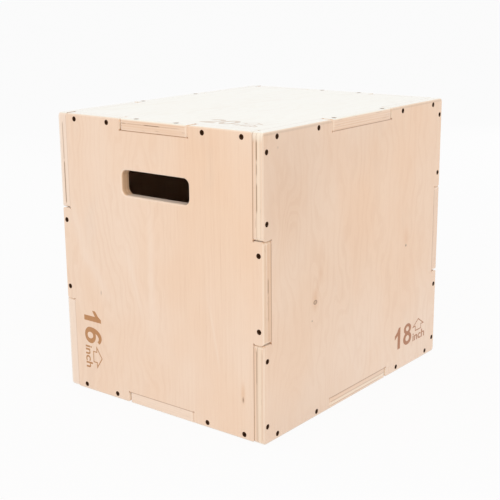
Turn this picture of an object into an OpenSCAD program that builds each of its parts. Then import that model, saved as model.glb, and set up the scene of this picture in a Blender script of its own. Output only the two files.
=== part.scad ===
// Three-height jumping box: six plywood panels, finger jointed at every edge and screwed.
// Each pair of faces is a different size, so turning the box gives three heights.
// The origin is the middle of the underside. +Z is up, and the front panel, with a hand slot, faces -Y.

/* [Box] */
// Width across the front, the shortest side
box_width = 406.4; // [380:0.1:440]
// Depth from the front to the back, the longest side
box_depth = 508; // [460:1:560]
// Height of the box as it stands here
box_height = 457.2; // [430:0.1:490]

/* [Plywood] */
// Thickness of the six panels
panel_thickness = 18; // [17:0.5:20]
// Play on each flank of a finger
finger_play = 0.25; // [0.1:0.05:0.4]
// Rounding of the free corners of panels and fingers
corner_radius = 6; // [4:0.5:8]
// Relief that the cutter leaves in the inner corners of notches
relief_radius = 1.5; // [1:0.1:2]
// Rounding of the outer edges of the finished box
edge_radius = 3; // [1.5:0.5:3.5]

/* [Hand slots] */
// Length of a slot
slot_length = 135; // [110:1:150]
// Height of a slot
slot_height = 39; // [32:1:50]
// Rounding of a slot's corners
slot_corner_radius = 10; // [6:1:15]
// Rounding of a slot's rims, outside and inside
slot_rim_radius = 3; // [1.5:0.5:4]
// From the top of the box down to the middle of a slot
slot_drop = 97.7; // [80:0.1:130]

/* [Screws] */
// Diameter of a countersunk head
head_diameter = 8; // [7:0.1:9]
// Diameter of a shank
shank_diameter = 4; // [3.5:0.1:4.5]
// Length of a screw from its head to its tip
screw_length = 32; // [28:1:34]
// Depth of a head below the wood
head_sink = 0.4; // [0.1:0.1:1]
// Play round a screw in its hole
screw_play = 0.1; // [0.05:0.05:0.2]

/* [Screw places] */
// From the edge of the box to a row of screws
row_inset = 8.5; // [8:0.5:10]
// Front and back, level rows: from the notch to the next screw
front_row_start = 27.5; // [15:0.5:35]
// Front and back, level rows: from the side of the box to the last screw
front_row_end = 37; // [32:0.5:42]
// Front and back, fingers: from the end of the finger to its screw
front_finger_inset = 20.5; // [12:0.5:40]
// Right and left, level rows: from the notch to the next screw
side_row_start = 35.5; // [15:0.5:45]
// Right and left, level rows: from the end of the box to the last screw
side_row_end = 32.5; // [28:0.5:42]
// Right and left, upright rows: from the notch to the next screw
side_upright_start = 24.5; // [15:0.5:40]
// Right and left, upright rows: from the top of the box to the last screw
side_upright_end = 27.5; // [22:0.5:40]
// Top and bottom, short tongues: from the end of the tongue to its screw
short_tongue_inset = 28; // [12:0.5:40]
// Top and bottom, long tongues: from the end of the tongue to its screw
long_tongue_inset = 16.5; // [12:0.5:40]

/* [Hidden] */
$fn = 64;
wood = [0.93, 0.81, 0.69];
black = [0.13, 0.09, 0.06];

// How far a cutter reaches past the surface that it opens
reach = 1;
// A finger or tongue is the middle third of its edge; these are half its length
half_short_tongue = box_width / 6;
half_long_tongue = box_depth / 6;
half_finger = box_height / 6;
// Middle of a hand slot above the middle of its panel
slot_level = box_height / 2 - slot_drop;
// Straight rim of a screw head above its cone, and the pointed end of a screw
head_rim = 0.4;
tip_length = 5;
// Cross recess of a screw head, and how far each screw is turned beyond the one before
recess_span = 4.6;
recess_width = 1.2;
recess_depth = 1.8;
turn_step = 37;

// Places along a row, in pairs either side of its middle
front_row = pairs([half_short_tongue + front_row_start, box_width / 2 - front_row_end]);
front_finger_row = pairs([half_finger - front_finger_inset]);
side_row = pairs([half_long_tongue + side_row_start, box_depth / 2 - side_row_end]);
side_upright_row = pairs([half_finger + side_upright_start, box_height / 2 - side_upright_end]);
short_tongue_row = pairs([half_short_tongue - short_tongue_inset]);
long_tongue_row = pairs([half_long_tongue - long_tongue_inset]);

function pairs(places) = [for (side = [-1, 1], place = places) side * place];

// Screw places of each kind of panel, seen from outside it, for a row along its high, low, far or near edge
function level_row(row, edge) = [for (place = row) [place, edge]];
function upright_row(row, edge) = [for (place = row) [edge, place]];

// Flat shapes

// What rounding takes from a square corner at the origin whose wood lies towards -X and -Y
module spandrel(radius) {
    difference() {
        translate([-radius, -radius]) square(radius + reach);
        translate([-radius, -radius]) circle(radius);
    }
}

// Repeats a shape in all four quarters of a panel
module quarters() {
    for (flip_x = [0, 1], flip_y = [0, 1]) mirror([flip_x, 0]) mirror([0, flip_y]) children();
}

// Rounds a free corner that points up and right, or down or left where the signs say so
module free_corner(place, sign_x = 1, sign_y = 1) {
    translate(place) mirror([sign_x < 0 ? 1 : 0, 0]) mirror([0, sign_y < 0 ? 1 : 0]) spandrel(corner_radius);
}

// Front and back: full height between the side panels, a finger out to each side, a notch above and below
module front_outline() {
    body = box_width / 2 - panel_thickness;
    finger = half_finger - finger_play;
    notch = half_short_tongue + finger_play;
    difference() {
        union() {
            square([2 * body, box_height], center = true);
            square([box_width, 2 * finger], center = true);
        }
        quarters() {
            translate([-reach, box_height / 2 - panel_thickness]) square([notch + reach, panel_thickness + reach]);
            free_corner([body, box_height / 2]);
            free_corner([box_width / 2, finger]);
            free_corner([notch, box_height / 2], sign_x = -1);
            translate([body, finger]) circle(relief_radius);
            translate([notch, box_height / 2 - panel_thickness]) circle(relief_radius);
        }
    }
}

// Right and left: the full rectangle, which owns the box's corners, with a notch in each edge
module side_outline() {
    notch = half_long_tongue + finger_play;
    side_notch = half_finger + finger_play;
    difference() {
        square([box_depth, box_height], center = true);
        quarters() {
            translate([-reach, box_height / 2 - panel_thickness]) square([notch + reach, panel_thickness + reach]);
            translate([box_depth / 2 - panel_thickness, -reach]) square([panel_thickness + reach, side_notch + reach]);
            free_corner([box_depth / 2, box_height / 2]);
            free_corner([notch, box_height / 2], sign_x = -1);
            free_corner([box_depth / 2, side_notch], sign_y = -1);
            translate([notch, box_height / 2 - panel_thickness]) circle(relief_radius);
            translate([box_depth / 2 - panel_thickness, side_notch]) circle(relief_radius);
        }
    }
}

// Top and bottom: fills the frame of the other four, with a tongue out through each of them
module deck_outline() {
    body = [box_width / 2 - panel_thickness, box_depth / 2 - panel_thickness];
    short_tongue = half_short_tongue - finger_play;
    long_tongue = half_long_tongue - finger_play;
    difference() {
        union() {
            square(2 * body, center = true);
            square([2 * short_tongue, box_depth], center = true);
            square([box_width, 2 * long_tongue], center = true);
        }
        quarters() {
            free_corner(body);
            free_corner([short_tongue, box_depth / 2]);
            free_corner([box_width / 2, long_tongue]);
            translate([short_tongue, body.y]) circle(relief_radius);
            translate([body.x, long_tongue]) circle(relief_radius);
        }
    }
}

// Rims

// Sweeps a profile round a rectangle with rounded corners
// The profile's X is its distance outside the rectangle, and its Y runs up
module sweep_round(size, radius) {
    straight = size / 2 - [radius, radius];
    for (side = [0 : 3]) {
        turned = side % 2 == 1;
        out = turned ? straight.y : straight.x;
        along = turned ? straight.x : straight.y;
        rotate(90 * side) {
            translate([out + radius, 0, 0]) rotate([90, 0, 0])
                linear_extrude(2 * along, center = true) children();
            translate([out, along, 0]) rotate_extrude(angle = 90) translate([radius, 0]) children();
        }
    }
}

// Rounds the outer edges of a panel, which are the edges of the finished box
module outer_edges(size) {
    translate([0, 0, panel_thickness]) sweep_round(size, corner_radius) spandrel(edge_radius);
}

// Hand slot through a panel, with rounded rims on both faces
module hand_slot() {
    size = [slot_length, slot_height];
    translate([0, slot_level, 0]) {
        translate([0, 0, -reach]) linear_extrude(panel_thickness + 2 * reach) {
            difference() {
                square(size, center = true);
                quarters() translate(size / 2) spandrel(slot_corner_radius);
            }
        }
        translate([0, 0, panel_thickness]) slot_rim(size);
        mirror([0, 0, 1]) slot_rim(size);
    }
}

module slot_rim(size) {
    sweep_round(size, slot_corner_radius) mirror([1, 0]) spandrel(slot_rim_radius);
}

// Screws

// Half outline of a screw, or of its hole with some play and an open mouth; Y is 0 at the top of the head
function screw_profile(play, mouth) = [
    [0, mouth],
    [head_diameter / 2 + play, mouth],
    [head_diameter / 2 + play, -head_rim],
    [shank_diameter / 2 + play, -head_rim - (head_diameter - shank_diameter) / 2],
    [shank_diameter / 2 + play, tip_length - screw_length],
    [0, -screw_length - play]
];

// Screw that points down, its head at the origin
module screw() {
    color(black) difference() {
        rotate_extrude() polygon(screw_profile(0, 0));
        for (turn = [0, 90]) rotate(turn) translate([-recess_span / 2, -recess_width / 2, -recess_depth])
            cube([recess_span, recess_width, recess_depth + reach]);
    }
}

module screw_hole() {
    rotate_extrude() polygon(screw_profile(screw_play, head_sink + reach));
}

// Puts a screw, or its hole, at each place on the outside of a panel that lies flat
module screws(places) {
    for (i = [0 : len(places) - 1])
        translate([places[i].x, places[i].y, panel_thickness - head_sink]) rotate(turn_step * i) screw();
}

module holes(places) {
    for (place = places) translate([place.x, place.y, panel_thickness - head_sink]) screw_hole();
}

// Rows of each kind of panel, edge by edge
function front_level(sign) = level_row(front_row, sign * (box_height / 2 - row_inset));
function front_finger(sign) = upright_row(front_finger_row, sign * (box_width / 2 - row_inset));
function side_level(sign) = level_row(side_row, sign * (box_height / 2 - row_inset));
function side_upright(sign) = upright_row(side_upright_row, sign * (box_depth / 2 - row_inset));
function deck_short(sign) = level_row(short_tongue_row, sign * (box_depth / 2 - row_inset));
function deck_long(sign) = upright_row(long_tongue_row, sign * (box_width / 2 - row_inset));

// Places: each stands a flat piece up, so that its X and Y lie in the panel and its Z points out of the box

module at_front() {
    translate([0, panel_thickness - box_depth / 2, box_height / 2]) rotate([90, 0, 0]) children();
}

module at_back() {
    mirror([0, 1, 0]) at_front() children();
}

module at_right() {
    translate([box_width / 2 - panel_thickness, 0, box_height / 2]) rotate([90, 0, 90]) children();
}

module at_left() {
    mirror([1, 0, 0]) at_right() children();
}

module at_top() {
    translate([0, 0, box_height - panel_thickness]) children();
}

module at_bottom() {
    translate([0, 0, panel_thickness]) mirror([0, 0, 1]) children();
}

// Panels, lying flat, with the holes of their own screws

module front_board() {
    difference() {
        linear_extrude(panel_thickness) front_outline();
        outer_edges([box_width, box_height]);
        hand_slot();
        for (sign = [-1, 1]) {
            holes(front_level(sign));
            holes(front_finger(sign));
        }
    }
}

module side_board() {
    difference() {
        linear_extrude(panel_thickness) side_outline();
        outer_edges([box_depth, box_height]);
        for (sign = [-1, 1]) {
            holes(side_level(sign));
            holes(side_upright(sign));
        }
    }
}

module deck_board() {
    difference() {
        linear_extrude(panel_thickness) deck_outline();
        outer_edges([box_width, box_depth]);
        for (sign = [-1, 1]) {
            holes(deck_short(sign));
            holes(deck_long(sign));
        }
    }
}

// Pilot holes that the neighbours' screws make in a panel's edges, for the front, right and top

module front_pilots() {
    at_right() holes(side_upright(-1));
    at_left() holes(side_upright(-1));
    at_top() holes(deck_short(-1));
    at_bottom() holes(deck_short(-1));
}

module right_pilots() {
    at_front() holes(front_finger(1));
    at_back() holes(front_finger(1));
    at_top() holes(deck_long(1));
    at_bottom() holes(deck_long(1));
}

module top_pilots() {
    at_front() holes(front_level(1));
    at_back() holes(front_level(1));
    at_right() holes(side_level(1));
    at_left() holes(side_level(1));
}

// Sub-parts

module front_panel() {
    color(wood) difference() {
        at_front() front_board();
        front_pilots();
    }
}

module back_panel() {
    mirror([0, 1, 0]) front_panel();
}

module right_panel() {
    color(wood) difference() {
        at_right() side_board();
        right_pilots();
    }
}

module left_panel() {
    mirror([1, 0, 0]) right_panel();
}

module top_panel() {
    color(wood) difference() {
        at_top() deck_board();
        top_pilots();
    }
}

module bottom_panel() {
    translate([0, 0, box_height]) mirror([0, 0, 1]) top_panel();
}

module front_panel_top_screws() at_front() screws(front_level(1));
module front_panel_bottom_screws() at_front() screws(front_level(-1));
module front_panel_left_screws() at_front() screws(front_finger(-1));
module front_panel_right_screws() at_front() screws(front_finger(1));

module back_panel_top_screws() at_back() screws(front_level(1));
module back_panel_bottom_screws() at_back() screws(front_level(-1));
module back_panel_left_screws() at_back() screws(front_finger(-1));
module back_panel_right_screws() at_back() screws(front_finger(1));

module right_panel_top_screws() at_right() screws(side_level(1));
module right_panel_bottom_screws() at_right() screws(side_level(-1));
module right_panel_front_screws() at_right() screws(side_upright(-1));
module right_panel_back_screws() at_right() screws(side_upright(1));

module left_panel_top_screws() at_left() screws(side_level(1));
module left_panel_bottom_screws() at_left() screws(side_level(-1));
module left_panel_front_screws() at_left() screws(side_upright(-1));
module left_panel_back_screws() at_left() screws(side_upright(1));

module top_panel_front_screws() at_top() screws(deck_short(-1));
module top_panel_back_screws() at_top() screws(deck_short(1));
module top_panel_left_screws() at_top() screws(deck_long(-1));
module top_panel_right_screws() at_top() screws(deck_long(1));

module bottom_panel_front_screws() at_bottom() screws(deck_short(-1));
module bottom_panel_back_screws() at_bottom() screws(deck_short(1));
module bottom_panel_left_screws() at_bottom() screws(deck_long(-1));
module bottom_panel_right_screws() at_bottom() screws(deck_long(1));

front_panel();
back_panel();
right_panel();
left_panel();
top_panel();
bottom_panel();
front_panel_top_screws();
front_panel_bottom_screws();
front_panel_left_screws();
front_panel_right_screws();
back_panel_top_screws();
back_panel_bottom_screws();
back_panel_left_screws();
back_panel_right_screws();
right_panel_top_screws();
right_panel_bottom_screws();
right_panel_front_screws();
right_panel_back_screws();
left_panel_top_screws();
left_panel_bottom_screws();
left_panel_front_screws();
left_panel_back_screws();
top_panel_front_screws();
top_panel_back_screws();
top_panel_left_screws();
top_panel_right_screws();
bottom_panel_front_screws();
bottom_panel_back_screws();
bottom_panel_left_screws();
bottom_panel_right_screws();
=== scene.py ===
"""The looks of a plywood jumping box: birch-like plywood, black screws and burnt size marks.

Sizes inside the materials are millimetres; everything else is metres.
"""
import math
from collections import namedtuple

import bmesh
import bpy
from mathutils import Matrix, Vector


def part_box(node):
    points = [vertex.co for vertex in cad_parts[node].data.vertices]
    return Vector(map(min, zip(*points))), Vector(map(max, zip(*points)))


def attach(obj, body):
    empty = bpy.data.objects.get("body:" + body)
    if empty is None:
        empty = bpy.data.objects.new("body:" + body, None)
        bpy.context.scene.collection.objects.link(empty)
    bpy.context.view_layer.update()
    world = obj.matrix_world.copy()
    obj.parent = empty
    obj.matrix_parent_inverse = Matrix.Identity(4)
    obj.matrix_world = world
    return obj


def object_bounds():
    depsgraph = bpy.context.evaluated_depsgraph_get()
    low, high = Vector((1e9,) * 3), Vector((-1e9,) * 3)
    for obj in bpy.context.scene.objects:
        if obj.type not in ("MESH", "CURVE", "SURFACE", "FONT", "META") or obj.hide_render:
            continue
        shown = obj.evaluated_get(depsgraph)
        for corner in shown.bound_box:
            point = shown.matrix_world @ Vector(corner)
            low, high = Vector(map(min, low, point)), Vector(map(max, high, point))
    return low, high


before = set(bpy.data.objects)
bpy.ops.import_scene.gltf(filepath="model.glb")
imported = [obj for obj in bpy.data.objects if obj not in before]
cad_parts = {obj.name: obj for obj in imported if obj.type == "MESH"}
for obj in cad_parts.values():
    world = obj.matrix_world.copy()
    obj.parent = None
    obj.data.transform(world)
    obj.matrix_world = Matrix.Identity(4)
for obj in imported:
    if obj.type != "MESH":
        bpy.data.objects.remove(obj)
cad_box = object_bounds()

# The box and its joints, read from model.glb
MM = 1000
LOW, HIGH = cad_box
WIDTH, DEPTH, HEIGHT = ((HIGH - LOW) * MM)
THICKNESS = (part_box("top_panel")[1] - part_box("top_panel")[0]).z * MM

# The photograph's view
CAMERA_PLACE = (1.0549, -1.3696, 0.6596)
CAMERA_AZIMUTH = 38.112
CAMERA_ELEVATION = 14.567
CAMERA_ROLL = -0.484
SENSOR = 36
LENS = 75.535


# Arithmetic that writes a material's nodes

class Field:
    """A number that varies over a surface. Arithmetic on it adds Math nodes to its material."""

    def __init__(self, tree, socket):
        self.tree = tree
        self.socket = socket

    def math(self, operation, *others):
        node = self.tree.nodes.new("ShaderNodeMath")
        node.operation = operation
        for place, value in zip(node.inputs, (self,) + others):
            feed(self.tree, place, value)
        return Field(self.tree, node.outputs[0])

    def __add__(self, other): return self.math("ADD", other)
    def __sub__(self, other): return self.math("SUBTRACT", other)
    def __rsub__(self, other): return (self * -1) + other
    def __mul__(self, other): return self.math("MULTIPLY", other)
    def __truediv__(self, other): return self.math("DIVIDE", other)
    def __pow__(self, other): return self.math("POWER", other)
    def abs(self): return self.math("ABSOLUTE")
    def sqrt(self): return self.math("SQRT")
    def sin(self): return self.math("SINE")
    def floor(self): return self.math("FLOOR")
    def fract(self): return self.math("FRACT")
    def odd(self): return (self * 0.5).fract() * 2
    def least(self, other): return self.math("MINIMUM", other)
    def most(self, other): return self.math("MAXIMUM", other)

    def ramp(self, start, end):
        """0 at start, 1 at end and smooth between them; start may be the larger."""
        node = self.tree.nodes.new("ShaderNodeMapRange")
        node.interpolation_type = "SMOOTHSTEP"
        low, high = sorted((start, end))
        feed(self.tree, node.inputs["Value"], self)
        node.inputs["From Min"].default_value = low
        node.inputs["From Max"].default_value = high
        node.inputs["To Min"].default_value = 0 if start < end else 1
        node.inputs["To Max"].default_value = 1 if start < end else 0
        return Field(self.tree, node.outputs["Result"])


def feed(tree, place, value):
    """Links a field, or sets a plain number or colour, on an input."""
    if isinstance(value, Field):
        tree.links.new(value.socket, place)
    else:
        place.default_value = value


def vector(x, y, z):
    """Three fields or numbers as a vector; at least one is a field."""
    tree = next(part.tree for part in (x, y, z) if isinstance(part, Field))
    node = tree.nodes.new("ShaderNodeCombineXYZ")
    for place, value in zip(node.inputs, (x, y, z)):
        feed(tree, place, value)
    return Field(tree, node.outputs[0])


def noise(place, scale=1.0, detail=2.0, roughness=0.5):
    """Smooth noise, about 0 to 1, at a place given by vector()."""
    node = place.tree.nodes.new("ShaderNodeTexNoise")
    feed(place.tree, node.inputs["Vector"], place)
    node.inputs["Scale"].default_value = scale
    node.inputs["Detail"].default_value = detail
    node.inputs["Roughness"].default_value = roughness
    return Field(place.tree, node.outputs["Fac"])


def blend(amount, first, second, kind="MIX"):
    """A colour between two colours, each a field or a plain one."""
    tree = amount.tree
    node = tree.nodes.new("ShaderNodeMix")
    node.data_type = "RGBA"
    node.blend_type = kind
    feed(tree, node.inputs["Factor"], amount)
    for socket, value in ((node.inputs[6], first), (node.inputs[7], second)):
        feed(tree, socket, value if isinstance(value, Field) else (*value, 1))
    return Field(tree, node.outputs[2])


def new_material(name):
    """A material with only a shader, and its tree."""
    material = bpy.data.materials.new(name)
    material.use_nodes = True
    tree = material.node_tree
    return material, tree, tree.nodes["Principled BSDF"]


def coordinates(tree, output, factor):
    """The three parts of a coordinate of the piece's own, times a factor."""
    source = tree.nodes.new("ShaderNodeTexCoord")
    split = tree.nodes.new("ShaderNodeSeparateXYZ")
    tree.links.new(source.outputs[output], split.inputs[0])
    return [Field(tree, part) * factor for part in split.outputs]


def add_bump(tree, shader, height, strength, distance):
    """Bends a shader's normal by a height, as far as a distance in metres."""
    bump = tree.nodes.new("ShaderNodeBump")
    bump.inputs["Strength"].default_value = strength
    bump.inputs["Distance"].default_value = distance
    feed(tree, bump.inputs["Height"], height)
    feed(tree, shader.inputs["Normal"], Field(tree, bump.outputs[0]))


# Plywood

X_AXIS, Y_AXIS, Z_AXIS = 0, 1, 2

# Thickness of the outer plies, the number of plies, and the thickness of the others
FACE_PLY = 1.0
PLIES = 11
CORE_PLY = (THICKNESS - 2 * FACE_PLY) / (PLIES - 2)
# How far the plies wander, in plies, and what keeps a level among them
PLY_SWAY = 0.25
LITTLE = 0.01

PALE_WOOD = (0.885, 0.668, 0.510)
WARM_WOOD = (0.868, 0.612, 0.432)
LIGHT_WOOD = (0.91, 0.72, 0.58)
GREY_WOOD = (0.790, 0.610, 0.480)
LATE_WOOD = (0.80, 0.66, 0.53)
END_WOOD = (0.90, 0.80, 0.68)
EDGE_WOOD = (0.90, 0.80, 0.70)
GLUE = (0.62, 0.47, 0.35)
VOID = (0.27, 0.13, 0.05)
SEAM = (0.34, 0.15, 0.055)
# Painted shade deep in the gaps between fingers
CRACK_SHADE = (0.13, 0.05, 0.015)
KNOT = (0.13, 0.075, 0.04)
STAIN = (0.80, 0.55, 0.30)

# Tints that the wood is multiplied by
WARM_TINT = (0.985, 0.915, 0.83)
BROWN_TINT = (0.90, 0.82, 0.72)
YELLOW_TINT = (0.92, 0.885, 0.815)
# Painted shade: the grey, shady and dim tints on the right face, the rim tint below its top edge, and the
# inner tint
GREY_SHADE_TINT = (0.90, 0.86, 0.82)
SHADY_TINT = (0.95, 0.91, 0.86)
DIM_SHADE_TINT = (0.935, 0.92, 0.905)
RIM_TINT = (0.85, 0.86, 0.86)
INNER_SHADE_TINT = (0.60, 0.48, 0.36)

# Pale and warm colour of a face, and how much of the warm one its patches hold
FACE_VENEER = (PALE_WOOD, WARM_WOOD)
# Painted light: the top's veneer is made nearly white, standing for strong light and glare on the top
LIT_TOP_VENEER = ((0.925, 0.90, 0.79), (0.915, 0.87, 0.735))
LEAST_WARM, WARM_RANGE = 0.2, 0.6

# Noise in the wood: its size across and along the face, what sets it apart from the others, and its detail
Pattern = namedtuple("Pattern", "size layer detail")
WARP = Pattern((55, 150), 0, 3)
RIPPLE = Pattern((22, 46), 3, 2)
SWAY = Pattern((160, 160), 7, 1)
PATCHES = Pattern((95, 190), 11, 2)
WARMTH = Pattern((60, 120), 17, 2)
LINE_FORCE = Pattern((70, 140), 23, 1)
STREAKS = Pattern((4, 300), 29, 3)

# Sizes of fibres and pores across and along the grain, and of the changes in tone and the broken gaps along
# an edge; the steps set one ply apart from the next
FIBRE_SIZE = (0.9, 34)
PORE_SIZE = (0.55, 5)
TONE_SIZE, TONE_STEP = 140, 5.3
HOLLOW_SIZE, HOLLOW_STEP = 26, 3.7
SPECKLE_SCALE = 1.3

# Growth lines that a full warp or ripple moves a point by, and fine lines to each broad one
WARP_LINES = 5.5
RIPPLE_LINES = 0.9
FINE_LINES = 3
FINE_WARP = 9
# Shares of broad lines, fine lines and streaks in the figure, and what changes where it runs straight
BROAD_SHARE, FINE_SHARE, STREAK_SHARE = 0.75, 0.25, 0.1
CALM_CLOSER, CALM_WARP, CALM_BROAD, CALM_STREAKS = 0.9, -0.5, -0.5, 0.6
# Least and further force of the lines over a face
LEAST_FORCE, FORCE_RANGE = 0.25, 0.55

# Where a normal leaves a panel's plane, where it lies in it, and where it leaves the level
EDGE_TURN = (0.85, 0.35)
FACE_TURN = (0.5, 0.9)
LEVEL_TURN = (0.98, 0.80)
# Glue at the sides of a ply, and a broken gap near one of them, in plies
GLUE_FADE = (0.40, 0.5)
HOLLOW_LEVEL, HOLLOW_FADE = 0.12, (0.24, 0.08)
# Strengths of lines, pores, glue and broken gaps in the colour
LINES_STRENGTH, PORES_STRENGTH, GLUE_STRENGTH, HOLLOW_STRENGTH = 0.30, 0.16, 0.22, 0.55

# A layer of colour: where on its field it starts and is full, its strength, its colour and its way to mix
Layer = namedtuple("Layer", "start full strength colour mode", defaults=["MIX"])
GREY_PATCHES = Layer(0.60, 0.85, 0.35, GREY_WOOD)
FIBRE_LINES = Layer(0.45, 0.75, 0.16, LATE_WOOD, "MULTIPLY")
PLY_TONE = Layer(0.35, 0.75, 0.45, EDGE_WOOD, "MULTIPLY")
# Over the distance to a seam, and to the end of a finger
SEAM_LINE = Layer(0.85, 0.35, 0.9, SEAM)
SEAM_SHADE = Layer(2.5, 0.3, 0.08, SEAM)
FINGER_END = (0.5, 0.2)
# Over the depth below the outer face
BURIED_EDGE = Layer(THICKNESS - 0.9, THICKNESS - 0.4, 0.8, SEAM)
# Painted highlight: the sides of the fingers just below the face made pale, where light catches them
FINGER_RIM_HIGHLIGHT = Layer(7, 6, 0.7, (0.97, 0.88, 0.74))
# Painted shade: the sides of the fingers deep in the joint made near black
FINGER_GAP_SHADE = Layer(7, 9, 0.8, CRACK_SHADE)
# Painted shade: the inner faces darkened, so the inside of the box looks dark
INNER_FACE_SHADE = Layer(THICKNESS - 0.3, THICKNESS - 0.1, 0.8, INNER_SHADE_TINT, "MULTIPLY")
# Over the largest part of the normal, which is 1 on flat wood, and over the height
# Painted highlight: rounded edges made paler, as if catching the light
ARRIS_HIGHLIGHT = Layer(0.995, 0.93, 0.3, (0.97, 0.87, 0.74))
# Painted shade: the low rounded edges, which face down, made darker and greyer
LOW_ARRIS_SHADE = Layer(3.6, 1.2, 0.8, (0.77, 0.62, 0.50))
# Painted light: upward edges at the top made as pale as the lit top
TOP_EDGE_LIGHT = Layer(HEIGHT - 2, HEIGHT - 1, 0.85, LIT_TOP_VENEER[0])

# Strength of the seams where they are tight, and where they grow loose across a front and a side
TIGHT, LOOSER = 0.3, 0.7
LOOSENING = {"front": (-180, -120), "side": (240, 180)}

BASE_ROUGHNESS = 0.42
COAT_ROUGHNESS = 0.22
SHEEN, SHEEN_ROUGHNESS = 0.5, 0.35


def pattern(kind, across, along, seed):
    """One of the noises in the wood."""
    place = vector(across / kind.size[0], along / kind.size[1], seed + kind.layer)
    return noise(place, detail=kind.detail)


def lay(colour, field, layer, where=1):
    """Lays a layer on a colour, over a field and as far as another one lets it."""
    amount = field.ramp(layer.start, layer.full) * (where * layer.strength)
    return blend(amount, colour, layer.colour, layer.mode)


def spot(across, along, middle, size):
    """1 at a place on a face, falling to 0 at the edge of an ellipse of that half size."""
    x = (across - middle[0]) / size[0]
    y = (along - middle[1]) / size[1]
    return (x * x + y * y).sqrt().ramp(1, 0)


def smear(across, along, start, end, half_width):
    """1 along a line from start to end, falling to 0 at half its width and beyond its ends."""
    direction = Vector(end) - Vector(start)
    length = direction.length
    unit = direction / length
    x, y = across - start[0], along - start[1]
    run = (x * unit.x + y * unit.y) / length
    side = (x * unit.y - y * unit.x).abs()
    return side.ramp(half_width, 0) * run.ramp(-0.1, 0.3) * run.ramp(1.1, 0.6)


def figure(across, along, panel):
    """Growth lines of a rotary-cut face: contour lines of a warped field with hills."""
    calm = across.ramp(*panel.straight) if panel.straight else 0
    warp = pattern(WARP, across, along, panel.seed) - 0.5
    ripple = pattern(RIPPLE, across, along, panel.seed) - 0.5
    field = across * panel.slope * (calm * CALM_CLOSER + 1)
    field = field + warp * WARP_LINES * (calm * CALM_WARP + 1) + ripple * RIPPLE_LINES
    for middle, size, height in panel.hills:
        field = field + spot(across, along, middle, size) * height
    broad = (field * math.tau).sin() * 0.5 + 0.5
    fine = (field * (math.tau * FINE_LINES) + warp * FINE_WARP).sin() * 0.5 + 0.5
    streaks = pattern(STREAKS, across, along, panel.seed).ramp(0.42, 0.68)
    lines = broad ** 3 * (calm * CALM_BROAD + BROAD_SHARE) + fine ** 2 * FINE_SHARE
    return lines + streaks * (calm * CALM_STREAKS + STREAK_SHARE)


def ray(first, at, second, beyond):
    """How far a point is from the lines |first| = at.

    They are kept to |second| beyond a limit, or within it if the limit is negative.
    """
    off = (first.abs() - at).abs()
    past = second.abs() * -1 + beyond if beyond > 0 else second.abs() + beyond
    return off.most(past)


def seam_distance(kind, across, along):
    """Distance on a face to the nearest seam of its panel, and to the nearest end of a finger or notch."""
    side = WIDTH / 2 - THICKNESS
    end = DEPTH / 2 - THICKNESS
    level = HEIGHT / 2 - THICKNESS
    # Half lengths of the fingers and tongues, which fill the middle third of their edge
    short, long, upright = WIDTH / 6, DEPTH / 6, HEIGHT / 6
    z = along - HEIGHT / 2 if kind != "deck" else along
    lines = {
        "front": [
            ray(across, side, z, upright), ray(z, level, across, -short),
            ray(z, upright, across, side), ray(across, short, z, level),
        ],
        "side": [
            ray(across, end, z, -upright), ray(z, level, across, -long),
            ray(z, upright, across, end), ray(across, long, z, level),
        ],
        "deck": [
            ray(across, side, z, long), ray(z, end, across, short),
            ray(z, long, across, side), ray(across, short, z, end),
        ],
    }[kind]
    return lines[0].least(lines[1]), lines[2].least(lines[3])


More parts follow.
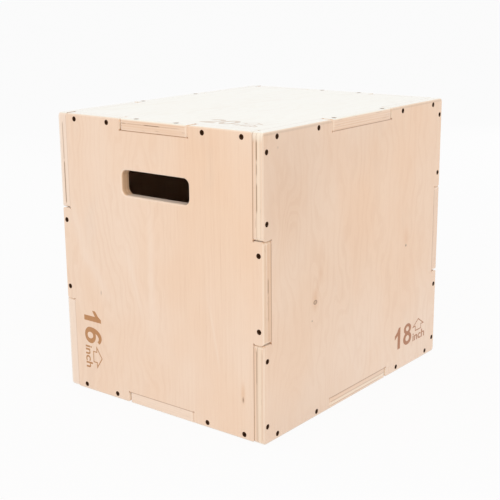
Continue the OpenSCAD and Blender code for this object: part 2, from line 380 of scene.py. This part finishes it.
class Wood:
    """The wood at any point of a panel: where it lies, and what of the plywood shows there."""

    def __init__(self, tree, panel):
        place = coordinates(tree, "Object", MM)
        normal = [part.abs() for part in coordinates(tree, "Normal", 1)]
        self.across, self.along, self.up = place[panel.across_axis], place[panel.along_axis], place[Z_AXIS]
        outer = (HIGH if panel.outward > 0 else LOW)[panel.depth_axis] * MM * panel.outward
        self.depth = place[panel.depth_axis] * -panel.outward + outer
        self.on_edge = normal[panel.depth_axis].ramp(*EDGE_TURN)
        self.on_face = 1 - self.on_edge
        self.flat = normal[panel.depth_axis].ramp(*FACE_TURN)
        self.skyward = normal[Z_AXIS].ramp(*FACE_TURN)
        self.off_level = normal[Z_AXIS].ramp(*LEVEL_TURN)
        self.squareness = normal[X_AXIS].most(normal[Y_AXIS]).most(normal[Z_AXIS])

        # Plies: every other one shows its end grain, glue joins them, and some are broken
        sway = pattern(SWAY, self.across, self.along, panel.seed) - 0.5
        level = (self.depth - FACE_PLY) / CORE_PLY + 1 + sway * PLY_SWAY
        level = level.most(LITTLE).least(PLIES - LITTLE)
        self.ply = level.floor()
        within = level.fract()
        turned = self.ply.odd()
        end_grain = normal[panel.along_axis] * (1 - turned) + normal[panel.across_axis] * turned
        self.ends = end_grain * self.on_edge
        self.glue = (within - 0.5).abs().ramp(*GLUE_FADE) * self.on_edge
        breaks = noise(vector(
            self.across / HOLLOW_SIZE, self.along / HOLLOW_SIZE, self.ply * HOLLOW_STEP + panel.seed,
        ))
        side = (within - HOLLOW_LEVEL).abs().ramp(*HOLLOW_FADE)
        self.hollow = breaks.ramp(0.62, 0.70) * side * self.on_edge

        # Fibres run along the grain of their ply, with short dark pores
        turn = turned * self.on_edge
        over = self.across * (1 - turn) + self.along * turn
        with_grain = self.along * (1 - turn) + self.across * turn
        self.fibres = noise(
            vector(over / FIBRE_SIZE[0], with_grain / FIBRE_SIZE[1], self.depth / FIBRE_SIZE[0]),
            detail=3, roughness=0.6,
        )
        self.pores = noise(
            vector(over / PORE_SIZE[0], with_grain / PORE_SIZE[1], self.depth / PORE_SIZE[0] + panel.seed),
            detail=1,
        ).ramp(0.70, 0.80)
        self.speckle = noise(
            vector(self.across, self.along, self.depth), scale=SPECKLE_SCALE, roughness=0.6,
        )
        self.lines = figure(self.across, self.along, panel)
        self.seam, self.finger_ends = seam_distance(panel.kind, self.across, self.along)

    def face_colour(self, panel):
        """Veneer with its patches, growth lines, fibres and pores."""
        def over(kind):
            return pattern(kind, self.across, self.along, panel.seed)

        patches = over(PATCHES).ramp(0.35, 0.68) * WARM_RANGE + LEAST_WARM
        colour = blend(self.on_edge, blend(patches, *panel.veneer), blend(patches, *FACE_VENEER))
        colour = lay(colour, over(WARMTH), GREY_PATCHES)
        force = over(LINE_FORCE).ramp(0.3, 0.75) * FORCE_RANGE + LEAST_FORCE
        lines = self.lines * force * self.on_face
        colour = blend(lines * LINES_STRENGTH, colour, LATE_WOOD, "MULTIPLY")
        colour = lay(colour, self.fibres, FIBRE_LINES)
        return blend(self.pores * PORES_STRENGTH, colour, LATE_WOOD, "MULTIPLY")

    def edge_colour(self, panel, colour):
        """Plies that differ in tone, end grain, glue and broken gaps on the edges."""
        tone = noise(
            vector(self.ply * TONE_STEP + panel.seed, self.across / TONE_SIZE, self.along / TONE_SIZE),
            detail=1,
        )
        colour = lay(colour, tone, PLY_TONE, self.on_edge)
        colour = blend(self.ends * (self.speckle * 0.35 + 0.15), colour, END_WOOD, "MULTIPLY")
        colour = blend(self.glue * GLUE_STRENGTH, colour, GLUE, "MULTIPLY")
        return blend(self.hollow * HOLLOW_STRENGTH, colour, VOID)

    def joint_colour(self, panel, colour):
        """Seams, the ends of fingers, rounded edges and the inner face, with painted highlight on the finger
        rims, the rounded edges and the upward edges at the top, and painted shade in the finger gaps, on the
        low rounded edges and on the inner face.
        """
        loose = 1
        if panel.kind in LOOSENING:
            loose = self.across.ramp(*LOOSENING[panel.kind]) * LOOSER + TIGHT
        colour = lay(colour, self.seam, SEAM_LINE, self.flat * loose)
        colour = lay(colour, self.seam, SEAM_SHADE, self.flat)
        colour = lay(colour, self.depth, BURIED_EDGE, self.on_edge)
        finger_end = self.finger_ends.ramp(*FINGER_END) * (1 - self.flat)
        colour = lay(colour, self.depth, FINGER_RIM_HIGHLIGHT, finger_end)
        colour = lay(colour, self.depth, FINGER_GAP_SHADE, finger_end)
        colour = lay(colour, self.squareness, ARRIS_HIGHLIGHT)
        colour = lay(colour, self.up, LOW_ARRIS_SHADE, self.off_level)
        colour = lay(colour, self.up, TOP_EDGE_LIGHT, self.skyward * self.on_edge)
        return lay(colour, self.depth, INNER_FACE_SHADE, self.flat)

    def roughness(self):
        return self.fibres * 0.12 + self.lines * 0.06 + self.ends * 0.22 + BASE_ROUGHNESS

    def relief(self):
        """Height of the surface for its bump."""
        grain = self.fibres * 0.30 + self.pores * -0.35 + self.lines * 0.20 + self.ends * self.speckle
        joints = self.glue * 0.4 + self.hollow * 2.5 + self.seam.ramp(0.6, 0.1) * self.flat * 0.6
        return grain - joints


def plywood(name, panel, tint=None, coat=1.0):
    """Plywood as a solid: plies stacked inward from the outer face, each with its own grain.

    Tint is what burning multiplies the wood's colour by, and coat is the weight of its varnish.
    """
    material, tree, shader = new_material(name)
    wood = Wood(tree, panel)
    colour = wood.face_colour(panel)
    colour = wood.edge_colour(panel, colour)
    colour = wood.joint_colour(panel, colour)
    colour = panel.flaws(colour, wood)
    if tint:
        colour = blend(wood.fibres * 0.10 + 0.93, colour, tint, "MULTIPLY")
    feed(tree, shader.inputs["Base Color"], colour)
    feed(tree, shader.inputs["Roughness"], wood.roughness())
    shader.inputs["Coat Weight"].default_value = coat
    shader.inputs["Coat Roughness"].default_value = COAT_ROUGHNESS
    shader.inputs["Sheen Weight"].default_value = SHEEN
    shader.inputs["Sheen Roughness"].default_value = SHEEN_ROUGHNESS
    add_bump(tree, shader, wood.relief(), 0.6, 0.00012)
    return material


def black_screw():
    """Black phosphate with brown dust in it."""
    material, tree, shader = new_material("black_phosphate")
    x, y, z = coordinates(tree, "Object", MM)
    grain = noise(vector(x, y, z), scale=1.8, detail=3, roughness=0.65)
    dust = noise(vector(x, y, z), scale=0.35)
    colour = blend(grain.ramp(0.35, 0.75), (0.024, 0.008, 0.002), (0.070, 0.026, 0.007))
    colour = blend(dust.ramp(0.50, 0.75) * 0.35, colour, (0.17, 0.09, 0.04))
    feed(tree, shader.inputs["Base Color"], colour)
    feed(tree, shader.inputs["Roughness"], grain * 0.25 + 0.38)
    shader.inputs["Specular IOR Level"].default_value = 0.06
    add_bump(tree, shader, grain, 0.5, 0.00008)
    return material


# Flaws of the panels, with painted light and shade on some, laid on in turn

# A spot or smear on a face: middle and half size, or two ends and half width; strength, colour, way to mix
Spot = namedtuple("Spot", "middle size strength colour mode", defaults=["MIX"])
Smear = namedtuple("Smear", "start end half_width strength colour mode", defaults=["MIX"])

# A dark gap between plies on an edge: its depth below the outer face, how it fades across, and its strength,
# then its two ends if it doesn't run all the way
Gap = namedtuple("Gap", "level fade strength start end", defaults=[None, None])
# How far past its end a gap fades out, and how far before it the gap is full
FADED_PAST, FULL_BEFORE = 5, 2

# Where an edge becomes the box's near or right end
NEAR_END = (-251, -253)
RIGHT_END = (200, 202)
# Depth of the middle of a panel's plies, as far as they are tinted
MIDDLE_PLY = 8


def face_spots_and_smears(colour, wood, flaws):
    """Spots and smears on a face."""
    for spot_or_smear in flaws:
        if isinstance(spot_or_smear, Spot):
            shape = spot(wood.across, wood.along, spot_or_smear.middle, spot_or_smear.size)
        else:
            shape = smear(wood.across, wood.along, spot_or_smear.start, spot_or_smear.end, spot_or_smear.half_width)
        colour = blend(shape * spot_or_smear.strength * wood.on_face, colour, spot_or_smear.colour, spot_or_smear.mode)
    return colour


def gaps(colour, wood, end, run, rows, shade=VOID):
    """Gaps between plies on an end of a panel; run is the way along it."""
    for gap in rows:
        places = end * (wood.depth - gap.level).abs().ramp(*gap.fade)
        if gap.start is not None:
            middle, half = (gap.start + gap.end) / 2, (gap.end - gap.start) / 2
            places = places * (run - middle).abs().ramp(half + FADED_PAST, half - FULL_BEFORE)
        colour = blend(places * gap.strength, colour, shade)
    return colour


# Middle of the hand slot across and up its panel, half sizes of an ellipse around it, and where its ends are
SLOT_MIDDLE = (0, 359.5)
SLOT_REACH = (95, 40)
SLOT_ENDS = (54, 63)
# Painted light: the pale colour of the slot's walls, as if lit inside the slot
SLOT_WALL_LIGHT = (0.98, 0.77, 0.60)
SLOT_END = (0.82, 0.535, 0.325)
SLOT_PLY = (0.66, 0.36, 0.16)
SLOT_PLIES = [Gap(7.5, (1.8, 0.6), 0.35), Gap(13, (1.8, 0.6), 0.35)]


def slot_walls(colour, wood):
    """Plies above and below the hand slot painted pale as painted light, and brown ones at its two ends."""
    inside = wood.on_edge * spot(wood.across, wood.along, SLOT_MIDDLE, SLOT_REACH).ramp(0, 0.02)
    colour = blend(inside * 0.9, colour, SLOT_WALL_LIGHT)
    ends = inside * wood.across.abs().ramp(*SLOT_ENDS)
    colour = blend(ends * 0.95, colour, SLOT_END)
    return gaps(colour, wood, ends, wood.along, SLOT_PLIES, SLOT_PLY)


FRONT_FLAWS = [
    Smear((-11, 335), (-12, 140), 11, 0.40, LIGHT_WOOD),
    Smear((-64, 260), (-32, 140), 11, 0.30, LIGHT_WOOD),
    Smear((-182, 320), (-148, 200), 15, 0.30, LIGHT_WOOD),
    Smear((-158, 240), (-90, 150), 15, 0.30, LIGHT_WOOD),
    Smear((100, 215), (124, 85), 4, 0.35, LIGHT_WOOD),
    Smear((126, 310), (126, 200), 1.1, 0.30, LATE_WOOD, "MULTIPLY"),
    Spot((165, 72), (6, 26), 0.40, STAIN, "MULTIPLY"),
    Spot((165, 62.5), (2.6, 7), 0.95, (0.30, 0.16, 0.08)),
    Spot((-123, 174), (1.8, 6), 0.45, KNOT),
    Spot((110, 340), (185, 250), 0.8, WARM_TINT, "MULTIPLY"),
]
FRONT_INNER_PLIES = Layer(8.4, 9.4, 0.9, BROWN_TINT, "MULTIPLY")
FRONT_OUTER_PLIES = Layer(7.2, 6.0, 0.9, YELLOW_TINT, "MULTIPLY")
FRONT_GAPS = [Gap(11.6, (1.2, 0.5), 0.35, 190, 224), Gap(10.8, (1.5, 0.6), 0.75, 230, 248)]


def front_flaws_and_slot_light(colour, wood):
    """Slot walls with their painted light, pale bands, stains and specks of the front panel, and the end of
    its right finger.
    """
    colour = slot_walls(colour, wood)
    colour = face_spots_and_smears(colour, wood, FRONT_FLAWS)
    right_end = wood.on_edge * wood.across.ramp(*RIGHT_END)
    colour = lay(colour, wood.depth, FRONT_INNER_PLIES, right_end)
    colour = lay(colour, wood.depth, FRONT_OUTER_PLIES, right_end)
    return gaps(colour, wood, right_end, wood.along, FRONT_GAPS)


RIGHT_STAINS = [
    Spot((-126, 190), (13, 26), 0.38, STAIN, "MULTIPLY"),
    Smear((-126, 195), (-105, 245), 9, 0.18, STAIN, "MULTIPLY"),
]
# The knot: its middle and half size, its dark ring and its paler heart
KNOT_MIDDLE, KNOT_SIZE = (-126, 186.7), (7, 5)
KNOT_RING = Layer(0.05, 0.35, 0.80, (0.22, 0.11, 0.045))
KNOT_HEART = Layer(0.45, 0.75, 0.85, (0.60, 0.38, 0.22))
RIGHT_SPECKS_AND_SHADE = [
    Spot((142, 234), (13, 26), 0.26, STAIN, "MULTIPLY"),
    Spot((142.5, 219.7), (3.4, 3.4), 0.9, KNOT),
    Spot((-134, 159), (2.4, 2.4), 0.6, KNOT),
    Spot((-220, 433), (3.0, 3.0), 0.25, KNOT),
    # Painted shade: broad darker parts of the right face, at its top left, its left middle, its bottom and
    # its top
    Spot((-210, 440), (200, 240), 1.2, GREY_SHADE_TINT, "MULTIPLY"),
    Spot((-140, 215), (250, 320), 0.95, SHADY_TINT, "MULTIPLY"),
    Spot((-160, -20), (290, 130), 1.0, DIM_SHADE_TINT, "MULTIPLY"),
    Spot((10, 430), (150, 110), 0.8, DIM_SHADE_TINT, "MULTIPLY"),
]
# Shade just below the rounded top edge, and where it ends above
RIM = Layer(HEIGHT - 6, HEIGHT - 4, 0.9, RIM_TINT, "MULTIPLY")
RIM_END = (HEIGHT - 1.2, HEIGHT - 2.6)
RIGHT_WARMTH = [Spot((150, 310), (300, 300), 1.8, WARM_TINT, "MULTIPLY")]
# Tints of the near end: around its middle ply, and near its top
NEAR_PLIES = Layer(6, 2, 0.5, (0.93, 0.76, 0.58))
NEAR_TOP = Layer(HEIGHT - 16, HEIGHT - 5, 0.45, (0.97, 0.90, 0.76))
RIGHT_GAPS = [
    Gap(11.2, (0.9, 0.4), 0.30),
    Gap(4.6, (0.9, 0.4), 0.12),
    Gap(0.8, (0.9, 0.4), 0.18),
    Gap(13.2, (1.6, 0.6), 0.28, 6, 92),
    Gap(13.2, (1.6, 0.6), 0.5, 95, 142),
    Gap(3.4, (0.8, 0.3), 0.18, 10, 142),
    Gap(11.2, (1.3, 0.5), 0.95, 420, 444),
    Gap(11.2, (1.3, 0.5), 0.6, 400, 412),
    Gap(11.2, (1.3, 0.5), 0.75, 348, 384),
]


def right_flaws_and_shade(colour, wood):
    """Knot, specks and stains of the right panel, painted shade over broad parts of its face and below its
    top edge, and its near end.
    """
    colour = face_spots_and_smears(colour, wood, RIGHT_STAINS)
    knot = spot(wood.across, wood.along, KNOT_MIDDLE, KNOT_SIZE) * wood.on_face
    colour = lay(colour, knot, KNOT_RING)
    colour = lay(colour, knot, KNOT_HEART)
    colour = face_spots_and_smears(colour, wood, RIGHT_SPECKS_AND_SHADE)
    colour = lay(colour, wood.along, RIM, wood.along.ramp(*RIM_END) * wood.on_face)
    colour = face_spots_and_smears(colour, wood, RIGHT_WARMTH)
    near_end = wood.on_edge * wood.across.ramp(*NEAR_END)
    colour = lay(colour, (wood.depth - MIDDLE_PLY).abs(), NEAR_PLIES, near_end)
    colour = lay(colour, wood.along, NEAR_TOP, near_end)
    return gaps(colour, wood, near_end, wood.along, RIGHT_GAPS)


LEFT_OUTER_PLIES = Layer(6, 3, 0.6, (0.90, 0.80, 0.70))
LEFT_GAPS = [Gap(9.9, (1.5, 0.6), 0.85, 314, 378), Gap(9.9, (1.5, 0.6), 0.5, 384, 440)]


def left_flaws(colour, wood):
    """The near end of the left panel."""
    near_end = wood.on_edge * wood.across.ramp(*NEAR_END)
    colour = blend(near_end * 0.75, colour, LIGHT_WOOD)
    colour = lay(colour, wood.depth, LEFT_OUTER_PLIES, near_end)
    return gaps(colour, wood, near_end, wood.along, LEFT_GAPS)


TOP_GAPS = [
    Gap(6.8, (0.9, 0.4), 0.85, -15, 12),
    Gap(6.8, (0.9, 0.4), 0.6, -66, -56),
    Gap(6.8, (0.9, 0.4), 0.25, -50, 50),
]


def top_flaws(colour, wood):
    """The end of the top panel's near tongue."""
    near_end = wood.on_edge * wood.along.ramp(*NEAR_END)
    return gaps(colour, wood, near_end, wood.across, TOP_GAPS)


BOTTOM_NEAR = (0.92, 0.74, 0.60)
BOTTOM_PLIES = Layer(3, 1, 0.6, (0.95, 0.80, 0.62))
BOTTOM_GAPS = [Gap(5, (0.9, 0.3), 0.30, -80, 60), Gap(11, (0.9, 0.3), 0.40, -80, 80)]


def bottom_flaws(colour, wood):
    """The ends of the bottom panel's near and right tongues."""
    near_end = wood.on_edge * wood.along.ramp(*NEAR_END)
    colour = blend(near_end * 0.6, colour, BOTTOM_NEAR)
    right_end = wood.on_edge * wood.across.ramp(*RIGHT_END)
    colour = lay(colour, (wood.depth - MIDDLE_PLY).abs(), BOTTOM_PLIES, right_end)
    return gaps(colour, wood, right_end, wood.along, BOTTOM_GAPS)


# Hills in the figure of each face: middle, half size and height in growth lines
FRONT_HILLS = [
    ((-30, 330), (46, 215), 3.2),
    ((-92, 400), (110, 300), 3.0),
    ((-34, 90), (70, 60), 1.4),
]
RIGHT_HILLS = [
    ((-188, 296), (30, 84), 3.4),
    ((-190, 0), (72, 205), 4.0),
    ((-58, 10), (44, 215), 3.2),
    ((-126, 187), (22, 70), 1.8),
    ((142, 170), (34, 80), 1.6),
]
TOP_HILLS = [((-60, -90), (50, 210), 3.0), ((70, 120), (44, 180), 3.0)]
BACK_HILLS = [((40, 300), (60, 230), 3.2), ((-110, 120), (50, 190), 2.8)]
LEFT_HILLS = [((60, 330), (60, 210), 3.4), ((-130, 60), (64, 200), 3.4), ((190, 200), (30, 120), 2.4)]

# A panel's kind of joints; its axes across, along and into it; the sign of its outer side; its seed; growth
# lines to a millimetre; where its lines begin to run straight and where they all do; hills, flaws with
# painted light and shade, and veneer
Panel = namedtuple(
    "Panel", "kind across_axis along_axis depth_axis outward seed slope straight hills flaws veneer",
    defaults=[FACE_VENEER],
)
FRONT_AXES = (X_AXIS, Z_AXIS, Y_AXIS)
SIDE_AXES = (Y_AXIS, Z_AXIS, X_AXIS)
DECK_AXES = (X_AXIS, Y_AXIS, Z_AXIS)
PANELS = {
    "front_panel": Panel("front", *FRONT_AXES, -1, 2.0, 0.060, (-10, 60), FRONT_HILLS, front_flaws_and_slot_light),
    "back_panel": Panel("front", *FRONT_AXES, 1, 31.0, 0.050, None, BACK_HILLS, slot_walls),
    "right_panel": Panel("side", *SIDE_AXES, 1, 53.0, 0.045, None, RIGHT_HILLS, right_flaws_and_shade),
    "left_panel": Panel("side", *SIDE_AXES, -1, 71.0, 0.045, None, LEFT_HILLS, left_flaws),
    "top_panel": Panel("deck", *DECK_AXES, 1, 97.0, 0.050, None, TOP_HILLS, top_flaws, LIT_TOP_VENEER),
    "bottom_panel": Panel("deck", *DECK_AXES, -1, 113.0, 0.050, None, BACK_HILLS, bottom_flaws),
}


def dress(piece, material):
    """Gives a CAD node or a piece one material."""
    piece.data.materials.clear()
    piece.data.materials.append(material)


for name, panel in PANELS.items():
    dress(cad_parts[name], plywood(f"{name}_plywood", panel))

screw_black = black_screw()
for name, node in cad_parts.items():
    if name.endswith("_screws"):
        dress(node, screw_black)


# Size marks, burnt into the faces

BURNT = (0.55, 0.33, 0.125)
DEEP_BURNT = (0.46, 0.22, 0.08)
# Weights of the varnish on a mark that is worn dull, and on the top's, which shines like the wood around it
DULL_COAT, SHINY_COAT = 0.3, 1.0
# How far a mark stands proud of its face, in millimetres
MARK_PROUD = 0.02

# Sizes in a mark, in millimetres from its lower left corner
SECOND_DIGIT = 28.7
UNIT = (61.5, 0, 41, 15.2)
UNIT_WEIGHT = 0.02
ARROW_STROKE = 1.8
ARROW = [(80, 38.5), (101, 25), (90.5, 25), (90.5, 17), (69.5, 17), (69.5, 25), (59, 25)]


ARC_STEPS, OVAL_STEPS = 24, 47


def arc(centre, radii, start, end, steps=ARC_STEPS):
    """Points along an ellipse between two angles in degrees, counted anticlockwise from its right end."""
    angles = [math.radians(start + (end - start) * i / steps) for i in range(steps + 1)]
    return [(centre[0] + radii[0] * math.cos(a), centre[1] + radii[1] * math.sin(a)) for a in angles]


def oval(centre, radii):
    """Points once around an ellipse."""
    return arc(centre, radii, 0, 360, OVAL_STEPS)[:-1]


# Closed outlines of each digit: its edge, then its holes
DIGITS = {
    "1": [[(9.5, 0), (18.3, 0), (18.3, 38.5), (12.5, 38.5), (8, 32), (0, 26), (0, 19), (9.5, 25)]],
    "6": [
        arc((16, 14), (16, 24.5), 48, 180) + arc((14, 12.6), (14, 12.6), 186, 467)
        + arc((17.5, 16), (9.2, 15.6), 150, 52),
        oval((14.2, 12.4), (5.6, 6.4)),
    ],
    "8": [
        arc((14, 29), (12.3, 9.5), -50, 230) + arc((14, 11.4), (14, 11.4), 125, 415),
        oval((14, 28.8), (5, 4.2)), oval((14, 11.6), (6.1, 5.3)),
    ],
    "2": [
        arc((14, 26.5), (13.4, 12), 175, -35) + [(12.5, 7.6), (27.6, 7.6), (27.6, 0), (0.5, 0), (0.5, 6.5)]
        + arc((14, 26.5), (5.4, 4.6), -45, 175),
    ],
    "0": [oval((14, 19.25), (14, 19.25)), oval((14, 19.25), (5.6, 12))],
}


def filled(name, outlines):
    """Flat mesh of closed outlines, in which an inner one is a hole."""
    curve = bpy.data.curves.new(name, "CURVE")
    curve.dimensions = "2D"
    curve.fill_mode = "FRONT"
    for points in outlines:
        spline = curve.splines.new("POLY")
        spline.points.add(len(points) - 1)
        spline.use_cyclic_u = True
        for point, (x, y) in zip(spline.points, points):
            point.co = (x, y, 0, 1)
    return as_mesh(curve)


def as_mesh(curve):
    """A curve's or text's shape as a mesh."""
    source = bpy.data.objects.new(curve.name, curve)
    bpy.context.collection.objects.link(source)
    bpy.context.view_layer.update()
    mesh = bpy.data.meshes.new_from_object(source.evaluated_get(bpy.context.evaluated_depsgraph_get()))
    bpy.data.objects.remove(source)
    return mesh


def digit(text, left):
    """A digit whose left edge is at a place in its mark."""
    mesh = filled(text, DIGITS[text])
    mesh.transform(Matrix.Translation((left, 0, 0)))
    return mesh


def word(text, place, weight):
    """A word in a plain font, fitted to a place: left, bottom, width and height.

    Weight thickens its strokes.
    """
    curve = bpy.data.curves.new(text, "FONT")
    curve.body = text
    curve.offset = weight
    curve.resolution_u = 8
    mesh = as_mesh(curve)
    low = Vector([min(v.co[i] for v in mesh.vertices) for i in range(3)])
    high = Vector([max(v.co[i] for v in mesh.vertices) for i in range(3)])
    left, bottom, width, height = place
    fit = Matrix.Diagonal((width / (high.x - low.x), height / (high.y - low.y), 1, 1))
    mesh.transform(Matrix.Translation((left, bottom, 0)) @ fit @ Matrix.Translation(-low))
    return mesh


def ribbon(points, width):
    """Flat ribbon of a width just inside a closed outline that runs clockwise."""
    count = len(points)
    corners = [Vector(point) for point in points]
    inner = []
    for i, corner in enumerate(corners):
        before = (corner - corners[i - 1]).normalized()
        after = (corners[(i + 1) % count] - corner).normalized()
        inward = [Vector((way.y, -way.x)) for way in (before, after)]
        inner.append(corner + sum(inward, Vector((0, 0))) * width / (1 + inward[0].dot(inward[1])))
    mesh = bpy.data.meshes.new("ribbon")
    faces = [(i, i + count, (i + 1) % count + count, (i + 1) % count) for i in range(count)]
    mesh.from_pydata([(p.x, p.y, 0) for p in corners + inner], [], faces)
    return mesh


def size_mark(name, digits, corner, right, up, material, squeeze=1.0):
    """A height and its unit on a face: its lower left corner in millimetres, and its directions.

    Squeeze is how much narrower the arrow and the unit are than on the other faces.
    """
    left, bottom, width, height = UNIT
    arrow = [(left + (x - left) * squeeze, y) for x, y in ARROW]
    drawing = bmesh.new()
    parts = [
        digit(digits[0], 0), digit(digits[1], SECOND_DIGIT),
        word("inch", (left, bottom, width * squeeze, height), UNIT_WEIGHT), ribbon(arrow, ARROW_STROKE),
    ]
    for part in parts:
        drawing.from_mesh(part)
        bpy.data.meshes.remove(part)
    right, up = Vector(right), Vector(up)
    out = right.cross(up)
    turn = Matrix((right, up, out)).transposed().to_4x4()
    start = Matrix.Translation(Vector(corner) + out * MARK_PROUD)
    bmesh.ops.transform(drawing, matrix=Matrix.Scale(1 / MM, 4) @ start @ turn, verts=drawing.verts)
    mesh = bpy.data.meshes.new(name)
    drawing.to_mesh(mesh)
    drawing.free()
    mark = bpy.data.objects.new(name, mesh)
    bpy.context.collection.objects.link(mark)
    dress(mark, material)
    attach(mark, "root")


def burnt(panel, tint, coat):
    """The panel's own wood, burnt, so that its grain runs on through a mark."""
    return plywood(f"{panel}_burnt", PANELS[panel], tint, coat)


right_edge, front_edge, top_edge = HIGH.x * MM, LOW.y * MM, HIGH.z * MM
size_mark(
    "front_size_mark", "16", (-165.2, front_edge, 139.5), (0, 0, -1), (1, 0, 0),
    burnt("front_panel", BURNT, DULL_COAT), squeeze=0.94,
)
size_mark(
    "right_size_mark", "18", (right_edge, 114.3, 38.5), (0, 1, 0), (0, 0, 1),
    burnt("right_panel", DEEP_BURNT, DULL_COAT),
)
size_mark(
    "top_size_mark", "20", (57.5, -217, top_edge), (1, 0, 0), (0, 1, 0),
    burnt("top_panel", BURNT, SHINY_COAT),
)


# Camera

def set_camera():
    """The photograph's camera, level except for its roll."""
    azimuth, elevation, roll = (math.radians(a) for a in (CAMERA_AZIMUTH, CAMERA_ELEVATION, CAMERA_ROLL))
    back = Vector((
        math.sin(azimuth) * math.cos(elevation),
        -math.cos(azimuth) * math.cos(elevation),
        math.sin(elevation),
    ))
    level_right = Vector((math.cos(azimuth), math.sin(azimuth), 0))
    level_up = back.cross(level_right)
    right = math.cos(roll) * level_right + math.sin(roll) * level_up
    up = -math.sin(roll) * level_right + math.cos(roll) * level_up
    data = bpy.data.cameras.new("camera")
    data.sensor_fit = "HORIZONTAL"
    data.sensor_width = SENSOR
    data.lens = LENS
    camera = bpy.data.objects.new("camera", data)
    turn = Matrix((right, up, back)).transposed().to_4x4()
    camera.matrix_world = Matrix.Translation(CAMERA_PLACE) @ turn
    bpy.context.collection.objects.link(camera)
    bpy.context.scene.camera = camera


set_camera()

# Floor, world and lamps

# The world as the camera sees it, and as it lights the box
WHITE = 0.983
WORLD_LEVEL = 0.80
# Strength of the floor's own white, its share to the camera, and its share in the light on the box
FLOOR_GLOW = 0.985
SEEN_GLOW = 0.91
BOUNCED_GLOW = 0.65
FLOOR_PAINT = (0.92, 0.92, 0.92, 1)
FLOOR_HALF = 30


def seen_ray(tree):
    """1 for rays from the camera and for reflections and glass, 0 for the rest."""
    paths = tree.nodes.new("ShaderNodeLightPath")
    seen = Field(tree, paths.outputs["Is Camera Ray"])
    seen = seen.most(Field(tree, paths.outputs["Is Glossy Ray"]))
    return seen.most(Field(tree, paths.outputs["Is Transmission Ray"]))


def set_world():
    """A white world, dimmer in its light than to the eye."""
    world = bpy.data.worlds.new("world")
    bpy.context.scene.world = world
    world.use_nodes = True
    tree = world.node_tree
    background = tree.nodes["Background"]
    background.inputs["Color"].default_value = (1, 1, 1, 1)
    feed(tree, background.inputs["Strength"], seen_ray(tree) * (WHITE - WORLD_LEVEL) + WORLD_LEVEL)


def set_floor():
    """A white floor that glows, with a matt part that takes the box's shadow."""
    size = FLOOR_HALF
    mesh = bpy.data.meshes.new("floor")
    corners = [(-size, -size, 0), (size, -size, 0), (size, size, 0), (-size, size, 0)]
    mesh.from_pydata(corners, [], [(0, 1, 2, 3)])
    floor = bpy.data.objects.new("floor", mesh)
    bpy.context.collection.objects.link(floor)
    material = bpy.data.materials.new("floor")
    material.use_nodes = True
    tree = material.node_tree
    tree.nodes.clear()
    matt = tree.nodes.new("ShaderNodeBsdfDiffuse")
    matt.inputs["Color"].default_value = FLOOR_PAINT
    glow = tree.nodes.new("ShaderNodeEmission")
    glow.inputs["Strength"].default_value = FLOOR_GLOW
    mix = tree.nodes.new("ShaderNodeMixShader")
    output = tree.nodes.new("ShaderNodeOutputMaterial")
    feed(tree, mix.inputs["Fac"], seen_ray(tree) * (SEEN_GLOW - BOUNCED_GLOW) + BOUNCED_GLOW)
    tree.links.new(matt.outputs[0], mix.inputs[1])
    tree.links.new(glow.outputs[0], mix.inputs[2])
    tree.links.new(mix.outputs[0], output.inputs["Surface"])
    mesh.materials.append(material)


def add_lamp(name, azimuth, elevation, distance, size, power, glares=True):
    """Soft lamp that faces the middle of the box; azimuth 0 is in front of it, and 90 on its right.

    One that doesn't glare lights surfaces without showing in their gloss.
    """
    turn, rise = math.radians(azimuth), math.radians(elevation)
    way = Vector((math.sin(turn) * math.cos(rise), -math.cos(turn) * math.cos(rise), math.sin(rise)))
    data = bpy.data.lights.new(name, "AREA")
    data.shape = "RECTANGLE"
    data.size, data.size_y = size
    data.energy = power
    lamp = bpy.data.objects.new(name, data)
    lamp.location = way * distance + Vector((0, 0, HEIGHT / MM / 2))
    lamp.rotation_euler = way.to_track_quat("Z", "Y").to_euler()
    lamp.visible_glossy = glares
    bpy.context.collection.objects.link(lamp)


set_world()
set_floor()
add_lamp("key_lamp", 36, 41, 2.7, (1.8, 1.6), 17)
add_lamp("back_lamp", 180, 12, 3.0, (1.6, 1.6), 8, glares=False)
add_lamp("left_lamp", 270, 12, 3.0, (1.6, 1.6), 8, glares=False)

bpy.context.scene.view_settings.view_transform = "Standard"
